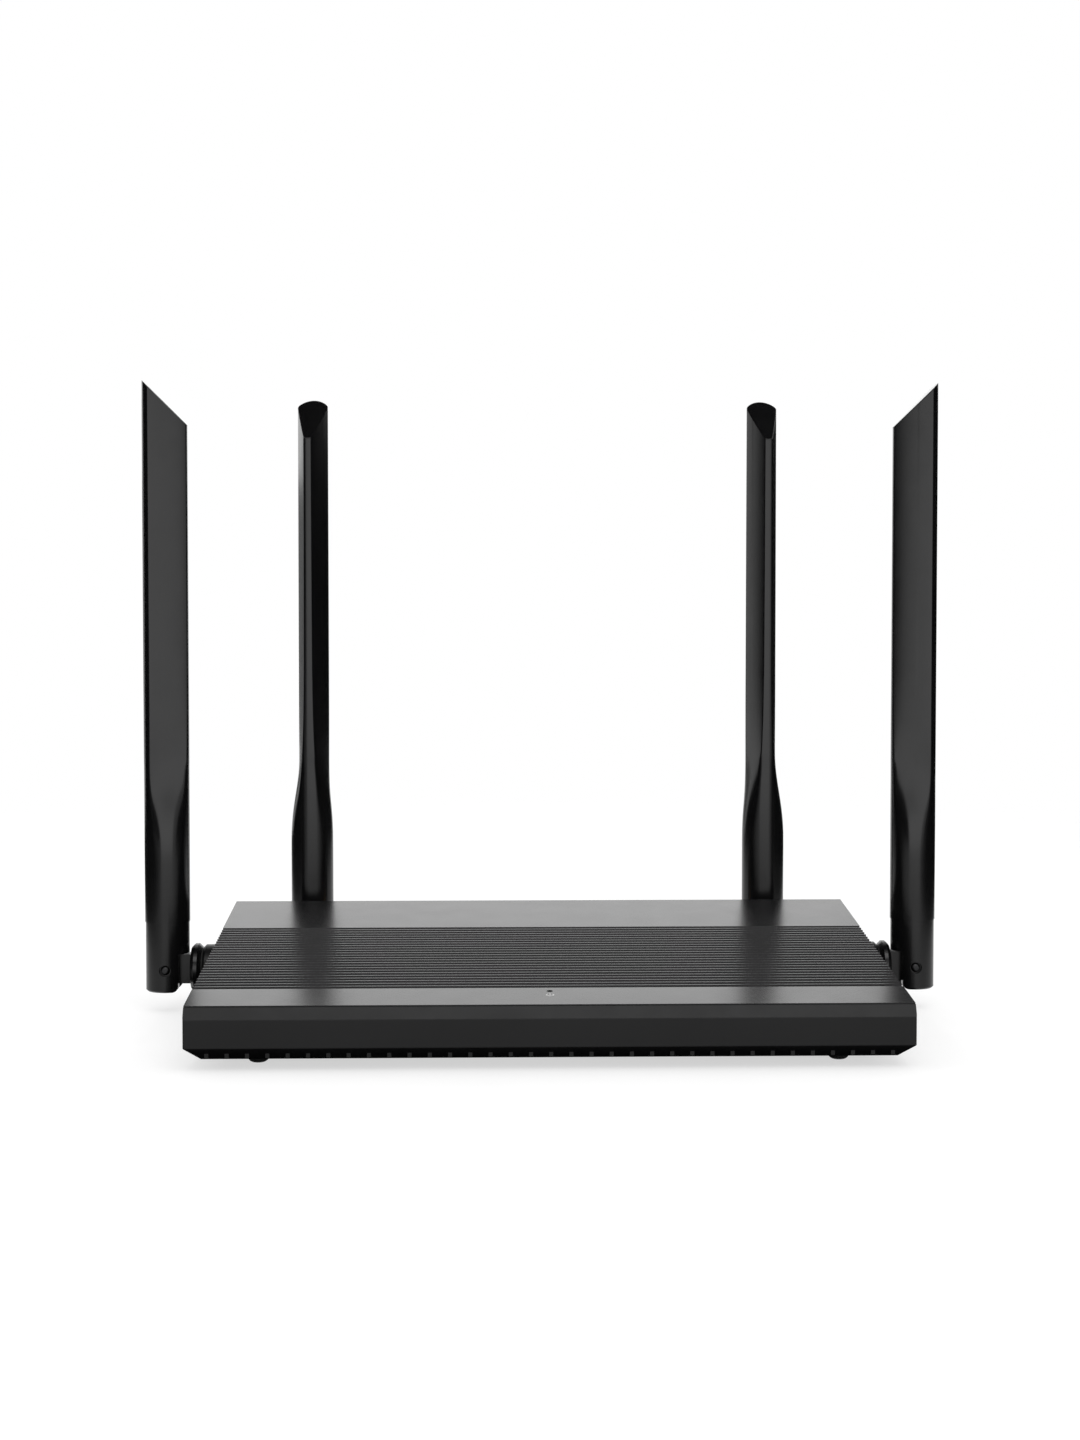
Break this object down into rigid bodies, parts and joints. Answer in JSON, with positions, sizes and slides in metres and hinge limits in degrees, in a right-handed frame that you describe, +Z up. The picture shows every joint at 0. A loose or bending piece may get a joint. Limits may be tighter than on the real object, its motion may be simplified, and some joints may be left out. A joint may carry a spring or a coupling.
{
  "type": "wireless router",
  "caption": "Low wedge-shaped wireless router with a ribbed sloping top, swivelling and folding paddle antennas at its sides and rear, network sockets, a power inlet and wall keyholes.",
  "frame": {"origin": "centre of the bounding box in plan, on the table under the feet", "axes": "+X to the right as seen from the front, +Y to the rear where the sockets are, +Z up"},
  "size_m": [0.2516, 0.1456, 0.1994],
  "materials": {
    "case_plastic": "satin black moulding with a fine grain",
    "cover_plastic": "satin black moulding with a fine grain",
    "sleeve_plastic": "satin black moulding",
    "hinge_plastic": "satin black moulding",
    "pin_metal": "blackened pin",
    "foot_rubber": "dark rubber",
    "screw_steel": "plated steel",
    "board_laminate": "green circuit laminate",
    "wan_plastic": "blue moulding",
    "lan_plastic": "yellow moulding",
    "power_plastic": "black moulding",
    "contact_metal": "gold-plated",
    "chip_plastic": "moulded chip body",
    "lamp_plastic": "smoked clear plastic",
    "sink_aluminium": "plain aluminium",
    "shield_tin": "tinned steel",
    "coax_jacket": "grey coax jacket",
    "button_plastic": "dark moulding"
  },
  "bodies": {
    "housing": {"bottom_case": "case_plastic", "top_cover": "cover_plastic", "rubber_feet": "foot_rubber", "cover_screws": "screw_steel", "main_board": "board_laminate", "board_screws": "screw_steel", "wan_jack": "wan_plastic", "lan_jack_1": "lan_plastic", "lan_jack_2": "lan_plastic", "lan_jack_3": "lan_plastic", "lan_jack_4": "lan_plastic", "jack_contacts": "contact_metal", "power_jack": "power_plastic", "power_jack_pin": "contact_metal", "button_switch": "chip_plastic", "status_led": "lamp_plastic", "light_pipe": "lamp_plastic", "processor_chip": "chip_plastic", "heat_sink": "sink_aluminium", "memory_chips": "chip_plastic", "radio_shields": "shield_tin", "line_transformers": "chip_plastic", "capacitors": "sink_aluminium", "coax_sockets": "contact_metal", "coax_pigtails": "coax_jacket"},
    "button": {"push_button": "button_plastic"},
    "left_side_swivel": {"left_side_knuckle": "hinge_plastic", "left_side_friction_washer": "foot_rubber", "left_side_retaining_clip": "screw_steel"},
    "left_side_antenna": {"left_side_hinge_pin": "pin_metal", "left_side_yoke": "hinge_plastic", "left_side_sleeve": "sleeve_plastic", "left_side_radiator": "board_laminate"},
    "right_side_swivel": {"right_side_knuckle": "hinge_plastic", "right_side_friction_washer": "foot_rubber", "right_side_retaining_clip": "screw_steel"},
    "right_side_antenna": {"right_side_hinge_pin": "pin_metal", "right_side_yoke": "hinge_plastic", "right_side_sleeve": "sleeve_plastic", "right_side_radiator": "board_laminate"},
    "left_rear_swivel": {"left_rear_knuckle": "hinge_plastic", "left_rear_friction_washer": "foot_rubber", "left_rear_retaining_clip": "screw_steel"},
    "left_rear_antenna": {"left_rear_hinge_pin": "pin_metal", "left_rear_yoke": "hinge_plastic", "left_rear_sleeve": "sleeve_plastic", "left_rear_radiator": "board_laminate"},
    "right_rear_swivel": {"right_rear_knuckle": "hinge_plastic", "right_rear_friction_washer": "foot_rubber", "right_rear_retaining_clip": "screw_steel"},
    "right_rear_antenna": {"right_rear_hinge_pin": "pin_metal", "right_rear_yoke": "hinge_plastic", "right_rear_sleeve": "sleeve_plastic", "right_rear_radiator": "board_laminate"}
  },
  "joints": [
    {"name": "left_side_swivel_turn", "type": "hinge", "parent": "housing", "child": "left_side_swivel", "pos_m": [-0.1187, 0.0218, 0.0138], "axis": [1, 0, 0], "range_deg": [-45, 90]},
    {"name": "left_side_tilt", "type": "hinge", "parent": "left_side_swivel", "child": "left_side_antenna", "pos_m": [-0.1187, 0.0218, 0.0138], "axis": [0, -1, 0], "range_deg": [0, 90]},
    {"name": "right_side_swivel_turn", "type": "hinge", "parent": "housing", "child": "right_side_swivel", "pos_m": [0.1187, 0.0218, 0.0138], "axis": [1, 0, 0], "range_deg": [-45, 90]},
    {"name": "right_side_tilt", "type": "hinge", "parent": "right_side_swivel", "child": "right_side_antenna", "pos_m": [0.1187, 0.0218, 0.0138], "axis": [0, 1, 0], "range_deg": [0, 90]},
    {"name": "left_rear_swivel_turn", "type": "hinge", "parent": "housing", "child": "left_rear_swivel", "pos_m": [-0.07665, 0.0657, 0.0138], "axis": [0, 1, 0], "range_deg": [-90, 45]},
    {"name": "left_rear_tilt", "type": "hinge", "parent": "left_rear_swivel", "child": "left_rear_antenna", "pos_m": [-0.07665, 0.0657, 0.0138], "axis": [-1, 0, 0], "range_deg": [0, 90]},
    {"name": "right_rear_swivel_turn", "type": "hinge", "parent": "housing", "child": "right_rear_swivel", "pos_m": [0.07665, 0.0657, 0.0138], "axis": [0, 1, 0], "range_deg": [-45, 90]},
    {"name": "right_rear_tilt", "type": "hinge", "parent": "right_rear_swivel", "child": "right_rear_antenna", "pos_m": [0.07665, 0.0657, 0.0138], "axis": [-1, 0, 0], "range_deg": [0, 90]},
    {"name": "button_press", "type": "slide", "parent": "housing", "child": "button", "axis": [0, -1, 0], "range_m": [0, 0.0008], "stiffness_N_per_m": 2000}
  ]
}
